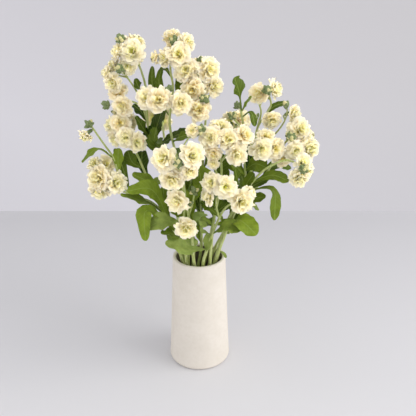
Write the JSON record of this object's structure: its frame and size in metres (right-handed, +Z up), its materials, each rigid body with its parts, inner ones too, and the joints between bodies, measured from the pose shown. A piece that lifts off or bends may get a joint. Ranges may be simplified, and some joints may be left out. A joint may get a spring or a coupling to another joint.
{
  "type": "stock flower in vase",
  "caption": "Loose bunch of branching cut stock with double cream blooms, bud clusters and waved leaves, standing in water in a tapered round ceramic vase.",
  "frame": {"origin": "centre of the vase's foot, on the surface that it stands on", "axes": "+Z up along the vase's axis, +X to the viewer's right, -Y towards the viewer"},
  "size_m": [0.2988, 0.2114, 0.4499],
  "materials": {
    "vase": "matte",
    "water": "gloss",
    "foliage": "matte",
    "petals": "matte"
  },
  "bodies": {
    "root": {"vase": "vase", "water": "water", "spray_tall_left": "foliage", "spray_left_mass": "foliage", "spray_far_left": "foliage", "spray_top_centre": "foliage", "spray_upper_centre": "foliage", "spray_back_left": "foliage", "spray_back_right": "foliage", "spray_right": "foliage", "spray_right_upper": "foliage", "spray_right_leafy": "foliage", "spray_arching": "foliage", "spray_centre_right": "foliage", "spray_low_right": "foliage", "spray_front_centre": "foliage", "spray_low_left": "foliage", "blooms_tall_left_1": "petals", "blooms_tall_left_2": "petals", "blooms_left_mass_1": "petals", "blooms_left_mass_2": "petals", "blooms_left_mass_3": "petals", "blooms_far_left_1": "petals", "blooms_far_left_2": "petals", "blooms_far_left_3": "petals", "blooms_crown_1": "petals", "blooms_crown_2": "petals", "blooms_crown_3": "petals", "blooms_crown_4": "petals", "blooms_crown_5": "petals", "blooms_back_left_1": "petals", "blooms_back_right_1": "petals", "blooms_back_right_2": "petals", "blooms_right_1": "petals", "blooms_right_2": "petals", "blooms_right_3": "petals", "blooms_right_upper_1": "petals", "blooms_right_upper_2": "petals", "blooms_right_upper_3": "petals", "blooms_right_upper_4": "petals", "blooms_right_upper_5": "petals", "blooms_arching_1": "petals", "blooms_centre_right_1": "petals", "blooms_centre_right_2": "petals", "blooms_low_right_1": "petals", "blooms_front_centre_1": "petals", "blooms_front_centre_2": "petals", "blooms_low_left_1": "petals", "blooms_low_left_2": "petals"}
  },
  "joints": []
}
